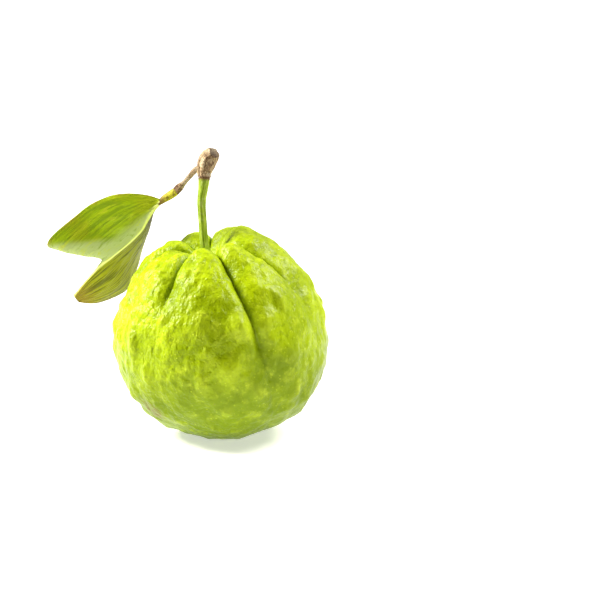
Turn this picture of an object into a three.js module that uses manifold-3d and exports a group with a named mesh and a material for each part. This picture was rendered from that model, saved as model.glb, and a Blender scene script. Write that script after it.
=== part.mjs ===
// A whole guava, picked with its stalk, the stub of branch it hung from, a thin twig and one leaf.
// Millimetres, +Z up, +X to the right of the front view and -Y towards the viewer.
// The origin is on the small flat spot that the fruit rests on.

import * as THREE from 'three';
import { mergeVertices } from 'three/addons/utils/BufferGeometryUtils.js';
import Module from 'manifold-3d';

// Fruit: a broad body of revolution about its stem axis, before the lobes are raised on it
const FRUIT_RADIUS = 43.7; // at the widest ring
const FRUIT_TOP = 39.8; // from the widest ring to the dome, before the stalk cavity
const FRUIT_BOTTOM = 45.8; // from the widest ring to the blossom end, before its dimple
const FRUIT_TAPER = -0.13; // narrows the shoulders a little and fills out the lower half
const FRUIT_LEAN_LEFT = 7; // degrees that the stem axis leans to the left
const FRUIT_LEAN_FRONT = 6; // degrees that it leans towards the viewer
// Height of the middle of the widest ring above the flat spot, which takes about 1 off the lowest point
const FRUIT_HEIGHT = 45.3;
const FRUIT_SWAY = 2.0; // how far the lower end swings to the right of the stem axis
const FRUIT_ROWS = 56;
const FRUIT_SHIFT = [-1.4, 0]; // of the stem axis at the widest ring, in the frame of the paths below
const FLAT_SPOT = [-1, -2]; // middle of the flat spot in that frame, which becomes the origin

// Stalk cavity and blossom-end dimple
const CAVITY_DEPTH = 10.5;
const CAVITY_RADIUS = 9.5;
const DIMPLE_DEPTH = 5.0;
const DIMPLE_RADIUS = 7.0;

// Dry sepals in the dimple
const SEPALS = 5;
const SEPAL_COLUMNS = 8;
const CALYX_RADIUS = 4.5;
const CALYX_ROOT = 1.5; // how far the crown is rooted above the floor of the dimple

// Furrows that run down from the stalk cavity. Bearings are in degrees about the stem axis from the
// front towards the right, one radian down from the stalk, and turn by some degrees for each further
// radian. Each furrow fades out between two angles measured down from the stalk.
const FURROWS = [
  { bearing: 22.8, turn: 5, depth: 2.1, from: 68, to: 132 },
  { bearing: 66, turn: 10, depth: 1.7, from: 42, to: 82 },
  { bearing: 175, turn: 3, depth: 1.4, from: 50, to: 95 },
  { bearing: 220, turn: -3, depth: 1.5, from: 45, to: 90 },
  { bearing: 265, turn: 3, depth: 1.8, from: 45, to: 85 },
  { bearing: 298, turn: -2, depth: 1.2, from: 22, to: 52 },
  { bearing: 327, turn: -4, depth: 1.6, from: 40, to: 74 },
];
const FURROW_WIDTH = 2.4;

// Lobe between each furrow and the next: height at the shoulder and number of columns of facets
const LOBES = [
  { height: 2.9, columns: 12 },
  { height: 4.3, columns: 21 },
  { height: 2.6, columns: 9 },
  { height: 2.4, columns: 9 },
  { height: 1.1, columns: 8 },
  { height: 1.7, columns: 8 },
  { height: 3.2, columns: 13 },
];
const LOBE_FULLNESS = 0.55; // the lower, the flatter a lobe's back and the steeper its sides
const LOBE_SHARE_LOW = 0.28; // what is left of a lobe's height on the lower half

// Warts: shallow bumps and hollows, longer along the meridians, drawn from a seeded sequence
const WART_COUNT = 260;
const WART_SEED = 1234;
const WART_HEIGHT = 1.25;

// Stem parts: paths as [x, y, z] and radii along them
const STALK_PATH = [
  [-6.0, -4.9, 74.5], [-6.5, -4.0, 79.6], [-7.2, -2.8, 89.5],
  [-7.7, -1.6, 98.6], [-7.0, -0.7, 104.7], [-6.6, -0.1, 109.0],
];
const STALK_RADII = [1.75, 1.75, 1.7, 1.75, 2.0, 2.4];
const STUB_PATH = [
  [-6.85, -0.25, 106.6], [-6.72, -0.12, 107.9], [-6.63, -0.03, 108.75], [-6.58, 0.02, 109.2], [-6.5, 0.1, 110.0],
  [-6.35, 0.2, 111.5], [-5.8, 0.3, 113.8], [-4.9, 0.4, 116.1], [-3.6, -0.1, 118.1], [-2.3, -1.1, 119.5],
];
const STUB_RADII = [1.1, 1.1, 1.1, 2.6, 2.75, 3.05, 3.65, 3.8, 3.35, 2.55];
const STUB_HOLLOW = 1.6; // depth of the hollow in the stub's broken end
const TWIG_PATH = [
  [-7.4, 0.6, 113.0], [-9.9, 1.2, 112.2], [-12.6, 2.4, 109.4],
  [-15.4, 3.7, 106.2], [-17.2, 4.6, 104.1], [-18.6, 5.2, 102.6],
];
const TWIG_RADII = [1.2, 1.25, 1.05, 1.1, 1.7, 1.65];
const LEAF_STALK_PATH = [
  [-17.2, 4.6, 104.3], [-18.8, 5.2, 102.5], [-21.4, 6.0, 100.6], [-23.9, 6.2, 99.0], [-26.2, 6.8, 97.0],
];
const LEAF_STALK_RADII = [0.95, 1.7, 1.75, 1.5, 0.9];
const JOINT_GAP = 0.3; // between a stem part and the socket that it grows out of

// Leaf blade: hung from three lines, the midrib and the margins of its two halves
const MIDRIB_LINE = [
  [-25.1, 6, 98.5], [-29.1, 9, 93.6], [-31.8, 13, 88.9], [-34.7, 18, 83.9], [-40.3, 25, 77.7],
  [-47.8, 31.5, 70.9], [-54.3, 37, 64.5], [-60.5, 43.5, 57.3], [-66.8, 50, 49.3],
];
const FAR_MARGIN = [
  [-25.3, 6, 99.1], [-31.4, 8, 100.8], [-40.1, 11, 101.2], [-50.0, 15, 98.9], [-61.5, 21, 91.4],
  [-76.0, 29, 74.9], [-43.7, 56, 69.9], [-49.1, 60, 57.4], [-66.2, 50.5, 50.1],
];
const NEAR_MARGIN = [
  [-25.1, 6.5, 97.8], [-29.1, 15, 93.1], [-31.4, 26, 87.6], [-33.7, 36, 80.7], [-37.1, 45, 70.8],
  [-39.8, 50.5, 61.8], [-43.0, 55, 51.5], [-55.2, 55, 45.4], [-65.1, 50, 46.4],
];
const BLADE_THICKNESS = 0.7;
const MIDRIB_THICKNESS = 1.7;
const MIDRIB_WIDTH = 1.3;
const BLADE_ROWS = 44;
const HALF_COLUMNS = 12;
const FOLD_ROUNDING = 0.08; // share of the half width that the fold along the midrib is rounded over
const PLEAT_COUNT = 6; // side veins of each half
const PLEAT_HEIGHT = 0.25;
const FAR_SWEEP = 0.8; // share of the leaf's length that a side vein runs forward on its way to the margin
const NEAR_SWEEP = 1.1;

const wasm = await Module();
wasm.setup();

const lerp = (a, b, t) => a + (b - a) * t;
const smooth = (a, b, x) => {
  const t = Math.min(1, Math.max(0, (x - a) / (b - a)));
  return t * t * (3 - 2 * t);
};
const radians = THREE.MathUtils.degToRad;

// Value of a list of numbers spaced evenly over 0 to 1, with a smooth pass through each of them
function along(list, t) {
  const x = t * (list.length - 1);
  const i = Math.min(list.length - 2, Math.floor(x));
  const f = x - i;
  const p = (k) => list[Math.min(list.length - 1, Math.max(0, k))];
  const [a, b, c, d] = [p(i - 1), p(i), p(i + 1), p(i + 2)];
  return b + 0.5 * f * (c - a + f * (2 * a - 5 * b + 4 * c - d + f * (3 * (b - c) + d - a)));
}
const pointAlong = (path, t) =>
  new THREE.Vector3(...[0, 1, 2].map((axis) => along(path.map((p) => p[axis]), t)));

// Way along a path from a little before t to a little after it
const stepAlong = (path, t, step) =>
  pointAlong(path, Math.min(1, t + step)).sub(pointAlong(path, Math.max(0, t - step)));

function geometryFrom(points, triangles) {
  const geometry = new THREE.BufferGeometry();
  const numbers = points.flatMap((p) => [p.x, p.y, p.z]);
  geometry.setAttribute('position', new THREE.Float32BufferAttribute(numbers, 3));
  geometry.setIndex(triangles.flat());
  return geometry;
}

function solidFrom(geometry) {
  const merged = mergeVertices(geometry, 1e-4);
  return new wasm.Manifold(new wasm.Mesh({
    numProp: 3,
    vertProperties: new Float32Array(merged.getAttribute('position').array),
    triVerts: new Uint32Array(merged.getIndex().array),
  }));
}

function geometryOf(solid) {
  const { vertProperties, triVerts, numProp } = solid.getMesh();
  const points = [];
  for (let i = 0; i < vertProperties.length; i += numProp) {
    points.push(new THREE.Vector3(vertProperties[i], vertProperties[i + 1], vertProperties[i + 2]));
  }
  const triangles = [];
  for (let i = 0; i < triVerts.length; i += 3) {
    triangles.push([triVerts[i], triVerts[i + 1], triVerts[i + 2]]);
  }
  return geometryFrom(points, triangles);
}

// Closed tube: rings of points across a path, joined, with a point in the middle of each end, the
// last of which may be sunk to make the end hollow
function tube(path, radii, steps, sides, section = () => 1, extra = 0, hollow = 0) {
  const points = [];
  const triangles = [];
  let side = new THREE.Vector3(1, 0, 0);
  for (let i = 0; i <= steps; i++) {
    const t = i / steps;
    const centre = pointAlong(path, t);
    const ahead = stepAlong(path, t, 0.01).normalize();
    side = side.clone().addScaledVector(ahead, -side.dot(ahead)).normalize();
    const up = new THREE.Vector3().crossVectors(ahead, side);
    for (let k = 0; k < sides; k++) {
      const angle = (2 * Math.PI * k) / sides;
      const r = along(radii, t) * section(angle, t) + extra;
      const out = side.clone().multiplyScalar(r * Math.cos(angle)).addScaledVector(up, r * Math.sin(angle));
      points.push(out.add(centre));
    }
  }
  const first = points.length;
  const end = pointAlong(path, 1);
  const back = pointAlong(path, 0.98).sub(end).normalize();
  points.push(pointAlong(path, 0), end.addScaledVector(back, hollow));
  for (let k = 0; k < sides; k++) {
    const next = (k + 1) % sides;
    triangles.push([first, next, k]);
    triangles.push([first + 1, steps * sides + k, steps * sides + next]);
    for (let i = 0; i < steps; i++) {
      const [a, b] = [i * sides + k, i * sides + next];
      triangles.push([a, b, b + sides], [a, b + sides, a + sides]);
    }
  }
  return geometryFrom(points, triangles);
}

// Even sequence of numbers from 0 to 1, the same on every run
function sequence(seed) {
  let state = seed;
  return () => (state = (state * 16807) % 2147483647) / 2147483647;
}

const direction = (psi, bearing) => new THREE.Vector3(
  Math.sin(psi) * Math.sin(bearing), -Math.sin(psi) * Math.cos(bearing), Math.cos(psi),
);

function makeWarts() {
  const next = sequence(WART_SEED);
  const warts = [];
  for (let i = 0; i < WART_COUNT; i++) {
    const psi = Math.acos(1 - 2 * (0.04 + 0.92 * next()));
    const bearing = 2 * Math.PI * next();
    const centre = direction(psi, bearing);
    const down = direction(psi + Math.PI / 2, bearing);
    const calm = 1 - 0.55 * smooth(0.5, 1, psi / Math.PI);
    warts.push({
      centre,
      down,
      across: new THREE.Vector3().crossVectors(centre, down),
      long: 3.4 + 2.8 * next(),
      wide: 2.6 + 1.6 * next(),
      height: (next() < 0.62 ? 1 : -0.8) * WART_HEIGHT * (0.45 + 0.55 * next()) * calm,
    });
  }
  return warts;
}
const warts = makeWarts();

function wartAt(way) {
  let sum = 0;
  for (const wart of warts) {
    if (way.dot(wart.centre) < 0.7) continue;
    const u = (way.dot(wart.down) * FRUIT_RADIUS) / wart.long;
    const v = (way.dot(wart.across) * FRUIT_RADIUS) / wart.wide;
    sum += wart.height * Math.exp(-u * u - v * v);
  }
  return sum;
}

const furrowBearing = (furrow, psi) => radians(furrow.bearing + furrow.turn * (psi - 1));

// Point of the fruit's skin at an angle down from the stalk and a share of the way across a lobe
function skin(psi, lobe, share) {
  const [here, there] = [FURROWS[lobe], FURROWS[(lobe + 1) % FURROWS.length]];
  const from = furrowBearing(here, psi);
  let to = furrowBearing(there, psi);
  if (to < from) to += 2 * Math.PI;
  const bearing = lerp(from, to, share);
  const down = THREE.MathUtils.radToDeg(psi);
  const around = FRUIT_RADIUS * Math.sin(psi) * (1 + FRUIT_TAPER * Math.cos(psi));
  const rise = (psi < Math.PI / 2 ? FRUIT_TOP : FRUIT_BOTTOM) * Math.cos(psi);
  const out = new THREE.Vector2(Math.sin(psi) / FRUIT_RADIUS, Math.cos(psi) / FRUIT_TOP).normalize();
  const low = lerp(1, LOBE_SHARE_LOW, smooth(25, 100, down));
  let swell = LOBES[lobe].height * low * Math.sin(Math.PI * share) ** LOBE_FULLNESS * smooth(3, 20, down);
  for (const [furrow, edge] of [[here, from], [there, to]]) {
    const apart = Math.abs(bearing - edge) * around;
    const fade = (1 - smooth(furrow.from, furrow.to, down)) * smooth(4, 16, down);
    swell -= furrow.depth * fade * Math.exp(-apart / FURROW_WIDTH);
  }
  swell += wartAt(direction(psi, bearing)) * smooth(8, 22, down);
  const r = Math.max(0, around + swell * out.x);
  let z = rise + swell * out.y;
  z -= CAVITY_DEPTH * Math.exp(-((r / CAVITY_RADIUS) ** 2)) * (psi < Math.PI / 2 ? 1 : 0);
  z += DIMPLE_DEPTH * Math.exp(-((r / DIMPLE_RADIUS) ** 4)) * (psi > Math.PI / 2 ? 1 : 0);
  const sway = FRUIT_SWAY * smooth(0, 36, -z);
  return new THREE.Vector3(r * Math.sin(bearing) + sway, -r * Math.cos(bearing), z);
}

// Leans the fruit on its stem axis and sets its widest ring at its height above the flat spot
const fruitPlace = new THREE.Matrix4().makeTranslation(FRUIT_SHIFT[0], FRUIT_SHIFT[1], FRUIT_HEIGHT)
  .multiply(new THREE.Matrix4().makeRotationY(-radians(FRUIT_LEAN_LEFT)))
  .multiply(new THREE.Matrix4().makeRotationX(radians(FRUIT_LEAN_FRONT)));

function fruitGeometry() {
  const points = [skin(0, 0, 0)];
  for (let row = 1; row < FRUIT_ROWS; row++) {
    const t = row / FRUIT_ROWS;
    const psi = Math.PI * (t - 0.05 * Math.sin(2 * Math.PI * t));
    LOBES.forEach((lobe, i) => {
      for (let k = 0; k < lobe.columns; k++) points.push(skin(psi, i, k / lobe.columns));
    });
  }
  points.push(skin(Math.PI, 0, 0));
  points.forEach((p) => {
    p.applyMatrix4(fruitPlace);
    p.z = Math.max(0, p.z);
  });
  const ring = LOBES.reduce((sum, lobe) => sum + lobe.columns, 0);
  const triangles = [];
  const last = points.length - 1;
  for (let k = 0; k < ring; k++) {
    const next = (k + 1) % ring;
    triangles.push([0, 1 + k, 1 + next]);
    triangles.push([last, last - ring + next, last - ring + k]);
    for (let row = 0; row < FRUIT_ROWS - 2; row++) {
      const [a, b] = [1 + row * ring + k, 1 + row * ring + next];
      triangles.push([a, a + ring, b + ring], [a, b + ring, b]);
    }
  }
  return geometryFrom(points, triangles);
}

// Rounded four-sided stalk, and woody stub with ridges and a hollow in its broken end
const stalkSection = (angle) => 1 + 0.06 * Math.cos(4 * angle + 0.6);
const stubSection = (angle, t) =>
  1 + smooth(0.35, 0.5, t) * (0.07 * Math.cos(5 * angle + 4 * t) + 0.05 * Math.cos(9 * angle - 3 * t + 1));
const twigSection = (angle, t) => 1 + 0.05 * Math.cos(3 * angle + 9 * t);

// Point of the blade between its three lines: s runs from the stalk to the tip, q from -1 at the far
// margin over 0 at the midrib to 1 at the near margin
function bladePoint(s, q) {
  const rib = pointAlong(MIDRIB_LINE, s);
  const far = pointAlong(FAR_MARGIN, s).sub(rib);
  const near = pointAlong(NEAR_MARGIN, s).sub(rib);
  const round = Math.sqrt(q * q + FOLD_ROUNDING ** 2) - FOLD_ROUNDING;
  const point = rib.clone().addScaledVector(near, (round + q) / 2).addScaledVector(far, (round - q) / 2);
  const forward = stepAlong(MIDRIB_LINE, s, 0.02);
  const side = q < 0 ? far : near;
  const face = new THREE.Vector3().crossVectors(forward, side).normalize().multiplyScalar(q < 0 ? -1 : 1);
  const across = Math.abs(q);
  const width = side.length();
  // side veins leave the midrib and sweep towards the tip, as ridges on the outer face of the fold
  const sweep = (q < 0 ? FAR_SWEEP : NEAR_SWEEP) * across * (1 - 0.3 * across);
  const ridge = 0.45 - Math.abs(Math.sin(Math.PI * PLEAT_COUNT * (s - sweep)));
  const pleats = PLEAT_HEIGHT * ridge * smooth(0.02, 0.2, across) * (1 - 0.5 * smooth(0.8, 1, across))
    * smooth(0, 0.12, s) * (1 - smooth(0.9, 1, s));
  const camber = 0.07 * width * Math.sin(Math.PI * across);
  return point.addScaledVector(face, camber + pleats);
}

function bladeGeometry() {
  const rows = BLADE_ROWS;
  const columns = 2 * HALF_COLUMNS;
  const spot = (i, j) => {
    const s = 0.012 + 0.983 * (i / rows);
    const k = j / HALF_COLUMNS - 1;
    const q = Math.sign(k) * Math.abs(k) ** 1.35;
    return { s, q, point: bladePoint(s, q) };
  };
  const grid = [];
  for (let i = 0; i <= rows; i++) grid.push(Array.from({ length: columns + 1 }, (_, j) => spot(i, j)));
  const faces = [[], []];
  for (let i = 0; i <= rows; i++) {
    for (let j = 0; j <= columns; j++) {
      const ahead = grid[Math.min(rows, i + 1)][j].point.clone().sub(grid[Math.max(0, i - 1)][j].point);
      const aside = grid[i][Math.min(columns, j + 1)].point.clone().sub(grid[i][Math.max(0, j - 1)].point);
      const face = new THREE.Vector3().crossVectors(ahead, aside).normalize();
      const off = grid[i][j].point.distanceTo(grid[i][HALF_COLUMNS].point);
      const rib = (MIDRIB_THICKNESS - BLADE_THICKNESS) * Math.exp(-((off / MIDRIB_WIDTH) ** 2));
      const half = (BLADE_THICKNESS + rib * (1 - 0.6 * grid[i][j].s)) / 2;
      faces[0].push(grid[i][j].point.clone().addScaledVector(face, half));
      faces[1].push(grid[i][j].point.clone().addScaledVector(face, -half));
    }
  }
  const under = faces[0].length;
  const width = columns + 1;
  const triangles = [];
  for (let i = 0; i < rows; i++) {
    for (let j = 0; j < columns; j++) {
      const [a, b, c, d] = [i * width + j, i * width + j + 1, (i + 1) * width + j, (i + 1) * width + j + 1];
      triangles.push([a, c, d], [a, d, b]);
      triangles.push([under + a, under + d, under + c], [under + a, under + b, under + d]);
    }
    for (const [j, turn] of [[0, false], [columns, true]]) {
      const [a, c] = [i * width + j, (i + 1) * width + j];
      if (turn) triangles.push([a, c, under + c], [a, under + c, under + a]);
      else triangles.push([a, under + c, c], [a, under + a, under + c]);
    }
  }
  for (let j = 0; j < columns; j++) {
    const [a, c] = [j, rows * width + j];
    triangles.push([a, a + 1, under + a + 1], [a, under + a + 1, under + a]);
    triangles.push([c, under + c + 1, c + 1], [c, under + c, under + c + 1]);
  }
  return geometryFrom([...faces[0], ...faces[1]], triangles);
}

// Dry crown in the blossom-end dimple: a low cup whose rim stands up in a few pointed sepals that
// bend inwards, on the lean of the fruit
function calyxGeometry() {
  const points = [new THREE.Vector3(0, 0, CALYX_ROOT)];
  const sides = SEPALS * SEPAL_COLUMNS;
  // each ring: radius, height, share of the sepal's rise and of its inward bend
  const rings = [
    [3.6, CALYX_ROOT, 0], [3.9, 0.2, 0], [CALYX_RADIUS, -0.9, 0.5], [4.2, -1.4, 1],
    [3.4, -1.2, 1], [3.2, -0.4, 0.4], [2.2, 0.2, 0],
  ];
  for (const [radius, height, share] of rings) {
    for (let k = 0; k < sides; k++) {
      const angle = (2 * Math.PI * k) / sides;
      const point = 1 - Math.abs(((k % SEPAL_COLUMNS) / SEPAL_COLUMNS) * 2 - 1);
      const r = radius - share * 1.7 * point * point;
      const z = height - share * 1.3 * point;
      points.push(new THREE.Vector3(r * Math.cos(angle), r * Math.sin(angle), z));
    }
  }
  points.push(new THREE.Vector3(0, 0, 0.3));
  const triangles = [];
  const last = points.length - 1;
  for (let k = 0; k < sides; k++) {
    const next = (k + 1) % sides;
    triangles.push([0, 1 + k, 1 + next], [last, last - sides + next, last - sides + k]);
    for (let i = 0; i < rings.length - 1; i++) {
      const [a, b] = [1 + i * sides + k, 1 + i * sides + next];
      triangles.push([a, a + sides, b + sides], [a, b + sides, b]);
    }
  }
  return geometryFrom(points, triangles);
}

const stalkGeometry = tube(STALK_PATH, STALK_RADII, 24, 14, stalkSection);
const stubGeometry = tube(STUB_PATH, STUB_RADII, 27, 20, stubSection, 0, STUB_HOLLOW);
const twigGeometry = tube(TWIG_PATH, TWIG_RADII, 22, 12, twigSection);
const leafStalkGeometry = tube(LEAF_STALK_PATH, LEAF_STALK_RADII, 18, 12);

const dimplePlace = fruitPlace.clone()
  .multiply(new THREE.Matrix4().makeTranslation(FRUIT_SWAY, 0, DIMPLE_DEPTH - FRUIT_BOTTOM));
const calyxSocket = new THREE.CylinderGeometry(CALYX_RADIUS + JOINT_GAP, CALYX_RADIUS + JOINT_GAP, 6, 30)
  .rotateX(Math.PI / 2).translate(0, 0, CALYX_ROOT + JOINT_GAP - 3).applyMatrix4(dimplePlace);
calyxSocket.deleteAttribute('normal').deleteAttribute('uv');
const fruit = solidFrom(fruitGeometry())
  .subtract(solidFrom(tube(STALK_PATH, STALK_RADII, 24, 14, stalkSection, JOINT_GAP)))
  .subtract(solidFrom(calyxSocket));
const stalk = solidFrom(stalkGeometry)
  .subtract(solidFrom(tube(STUB_PATH, STUB_RADII, 27, 20, stubSection, JOINT_GAP)));
const calyx = solidFrom(calyxGeometry().applyMatrix4(dimplePlace));
const branch = solidFrom(stubGeometry).add(solidFrom(twigGeometry))
  .subtract(solidFrom(tube(LEAF_STALK_PATH, LEAF_STALK_RADII, 18, 12, undefined, JOINT_GAP)));
const leaf = solidFrom(bladeGeometry()).add(solidFrom(leafStalkGeometry));

const guava = new THREE.Group();
guava.position.set(-FLAT_SPOT[0], -FLAT_SPOT[1], 0);
function piece(name, geometry, color, roughness) {
  const mesh = new THREE.Mesh(geometry, new THREE.MeshStandardMaterial({ color, roughness, metalness: 0 }));
  mesh.name = name;
  guava.add(mesh);
  return mesh;
}
piece('fruit', geometryOf(fruit), '#b4cf1e', 0.4);
piece('calyx', geometryOf(calyx), '#6b5330', 0.85);
piece('stalk', geometryOf(stalk), '#a3b24a', 0.55);
piece('branch', geometryOf(branch), '#b9a088', 0.8);
piece('leaf', geometryOf(leaf), '#9aae22', 0.5);

export default guava;
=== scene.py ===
import math

import bmesh
import bpy
import numpy as np
from mathutils import Matrix, Vector, noise


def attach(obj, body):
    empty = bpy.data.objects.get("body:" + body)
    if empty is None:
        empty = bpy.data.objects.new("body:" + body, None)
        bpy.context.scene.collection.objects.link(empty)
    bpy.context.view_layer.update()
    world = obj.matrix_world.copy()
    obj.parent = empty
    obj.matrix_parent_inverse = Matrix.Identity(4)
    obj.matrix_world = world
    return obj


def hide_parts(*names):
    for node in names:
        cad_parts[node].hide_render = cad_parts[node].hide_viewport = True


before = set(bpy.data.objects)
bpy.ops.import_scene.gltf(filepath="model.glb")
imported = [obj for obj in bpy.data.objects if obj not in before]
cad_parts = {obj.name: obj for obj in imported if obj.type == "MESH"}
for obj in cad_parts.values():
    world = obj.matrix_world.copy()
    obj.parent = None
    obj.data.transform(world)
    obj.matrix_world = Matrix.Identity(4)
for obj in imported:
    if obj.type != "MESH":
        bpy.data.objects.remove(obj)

bl_info = {
    "name": "Guava",
    "version": (1, 0, 0),
    "blender": (4, 5, 0),
    "location": "3D View > Sidebar > Guava",
    "description": "Builds a whole guava with its stalk, branch stub, twig and folded leaf",
    "category": "Object",
}

MM = 0.001

# The forms below repeat the named values of the solid model, in millimetres. Paths and lines lie in
# a frame whose origin is moved to the middle of the flat spot when a mesh is made.
FLAT_SPOT = (-1.0, -2.0, 0.0)

# Each furrow: bearing, turn, depth, and the two angles down from the stalk between which it fades
FURROWS = (
    (22.8, 5, 2.1, 68, 132), (66, 10, 1.7, 42, 82), (175, 3, 1.4, 50, 95), (220, -3, 1.5, 45, 90),
    (265, 3, 1.8, 45, 85), (298, -2, 1.2, 22, 52), (327, -4, 1.6, 40, 74),
)
FURROW_WIDTH = 2.4
# Width over which painted shade darkens the skin beside each furrow, mm
FURROW_SHADE_WIDTH = 1.6
LOBE_HEIGHTS = (2.9, 4.3, 2.6, 2.4, 1.1, 1.7, 3.2)
LOBE_FULLNESS = 0.55
LOBE_SHARE_LOW = 0.28

STALK_PATH = (
    (-6, -4.9, 74.5), (-6.5, -4, 79.6), (-7.2, -2.8, 89.5), (-7.7, -1.6, 98.6), (-7, -0.7, 104.7),
    (-6.6, -0.1, 109),
)
STALK_RADII = (1.75, 1.75, 1.7, 1.75, 2.0, 2.4)
STUB_PATH = (
    (-6.85, -0.25, 106.6), (-6.72, -0.12, 107.9), (-6.63, -0.03, 108.75), (-6.58, 0.02, 109.2),
    (-6.5, 0.1, 110), (-6.35, 0.2, 111.5), (-5.8, 0.3, 113.8), (-4.9, 0.4, 116.1), (-3.6, -0.1, 118.1),
    (-2.3, -1.1, 119.5),
)
STUB_RADII = (1.1, 1.1, 1.1, 2.6, 2.75, 3.05, 3.65, 3.8, 3.35, 2.55)
TWIG_PATH = (
    (-7.4, 0.6, 113), (-9.9, 1.2, 112.2), (-12.6, 2.4, 109.4), (-15.4, 3.7, 106.2), (-17.2, 4.6, 104.1),
    (-18.6, 5.2, 102.6),
)
TWIG_RADII = (1.2, 1.25, 1.05, 1.1, 1.7, 1.65)
LEAF_STALK_PATH = (
    (-17.2, 4.6, 104.3), (-18.8, 5.2, 102.5), (-21.4, 6, 100.6), (-23.9, 6.2, 99), (-26.2, 6.8, 97),
)
LEAF_STALK_RADII = (0.95, 1.7, 1.75, 1.5, 0.9)

MIDRIB_LINE = (
    (-25.1, 6, 98.5), (-29.1, 9, 93.6), (-31.8, 13, 88.9), (-34.7, 18, 83.9), (-40.3, 25, 77.7),
    (-47.8, 31.5, 70.9), (-54.3, 37, 64.5), (-60.5, 43.5, 57.3), (-66.8, 50, 49.3),
)
FAR_MARGIN = (
    (-25.3, 6, 99.1), (-31.4, 8, 100.8), (-40.1, 11, 101.2), (-50, 15, 98.9), (-61.5, 21, 91.4),
    (-76, 29, 74.9), (-43.7, 56, 69.9), (-49.1, 60, 57.4), (-66.2, 50.5, 50.1),
)
NEAR_MARGIN = (
    (-25.1, 6.5, 97.8), (-29.1, 15, 93.1), (-31.4, 26, 87.6), (-33.7, 36, 80.7), (-37.1, 45, 70.8),
    (-39.8, 50.5, 61.8), (-43, 55, 51.5), (-55.2, 55, 45.4), (-65.1, 50, 46.4),
)


# The brown blemish on the skin, low on the left
BLEMISH_PLACE = (-27.4, -23.0, 14.8)
BLEMISH_SIZE = 5.5

# The lamps: place and size in metres; both look at a point in the fruit
KEY_LAMP = ((-0.60, 0.04, 0.52), 0.22)
FILL_LAMP = ((0.50, 0.12, 0.58), 0.28)
LAMP_AIM = (0, 0, 0.05)
FLOOR_SIZE = 12.0


def unit(value):
    return value / np.maximum(np.linalg.norm(value, axis=-1, keepdims=True), 1e-12)


def smooth(low, high, value):
    t = np.clip((value - low) / (high - low), 0, 1)
    return t * t * (3 - 2 * t)


def along(values, t):
    """Value of evenly spaced numbers or points at t from 0 to 1, passing smoothly through each."""
    table = np.asarray(values, float)
    last = len(table) - 1
    x = np.clip(np.asarray(t, float), 0, 1) * last
    i = np.minimum(last - 1, np.floor(x).astype(int))
    f = x - i
    if table.ndim > 1:
        f = f[..., None]
    a, b, c, d = (table[np.clip(i + k, 0, last)] for k in (-1, 0, 1, 2))
    return b + 0.5 * f * (c - a + f * (2 * a - 5 * b + 4 * c - d + f * (3 * (b - c) + d - a)))


def sequence(seed):
    """Even sequence of numbers from 0 to 1, the same on every run."""
    state = seed
    while True:
        state = (state * 16807) % 2147483647
        yield state / 2147483647


def direction(psi, bearing):
    return np.stack([np.sin(psi) * np.sin(bearing), -np.sin(psi) * np.cos(bearing), np.cos(psi)], -1)


def noise_at(points, size, depth=3, seed=0.0):
    """Fractal noise of about -1 to 1 at points in millimetres, with features of a given size."""
    offset = Vector((seed, seed * 1.7, -seed))
    flat = np.asarray(points).reshape(-1, 3) / size
    values = [noise.fractal(Vector(p) + offset, 0.9, 2.0, depth) for p in flat]
    return np.array(values).reshape(np.asarray(points).shape[:-1])


def mesh_object(name, points, faces, masks=None):
    """Object with its origin at the frame's origin, from points in the paths' frame in millimetres."""
    mesh = bpy.data.meshes.new(name)
    placed = (np.asarray(points, float) - np.array(FLAT_SPOT)) * MM
    mesh.from_pydata(placed.tolist(), [], faces)
    for mask, values in (masks or {}).items():
        values = np.asarray(values, float)
        if values.ndim == 2:
            layer = mesh.attributes.new(mask, "FLOAT_VECTOR", "POINT")
            layer.data.foreach_set("vector", values.ravel().astype(np.float32))
        else:
            layer = mesh.attributes.new(mask, "FLOAT", "POINT")
            layer.data.foreach_set("value", values.astype(np.float32))
    mesh.polygons.foreach_set("use_smooth", [True] * len(mesh.polygons))
    mesh.update()
    obj = bpy.data.objects.new(name, mesh)
    bpy.context.collection.objects.link(obj)
    return obj


class Socket:
    """Wraps a shader socket so that node maths reads as plain arithmetic."""

    def __init__(self, tree, output):
        self.tree = tree
        self.output = output

    def maths(self, operation, *values):
        node = self.tree.nodes.new("ShaderNodeMath")
        node.operation = operation
        for slot, value in zip(node.inputs, values):
            self.feed(slot, value)
        return Socket(self.tree, node.outputs[0])

    def feed(self, slot, value):
        if isinstance(value, Socket):
            self.tree.links.new(value.output, slot)
        else:
            slot.default_value = value

    def __add__(self, other):
        return self.maths("ADD", self, other)

    __radd__ = __add__

    def __sub__(self, other):
        return self.maths("SUBTRACT", self, other)

    def __rsub__(self, other):
        return self.maths("SUBTRACT", other, self)

    def __mul__(self, other):
        return self.maths("MULTIPLY", self, other)

    __rmul__ = __mul__

    def ramp(self, low, high):
        """0 below low and 1 above high, with a soft passage between them."""
        node = self.tree.nodes.new("ShaderNodeMapRange")
        node.interpolation_type = "SMOOTHSTEP"
        self.feed(node.inputs["Value"], self)
        self.feed(node.inputs["From Min"], low)
        self.feed(node.inputs["From Max"], high)
        return Socket(self.tree, node.outputs["Result"])


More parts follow.
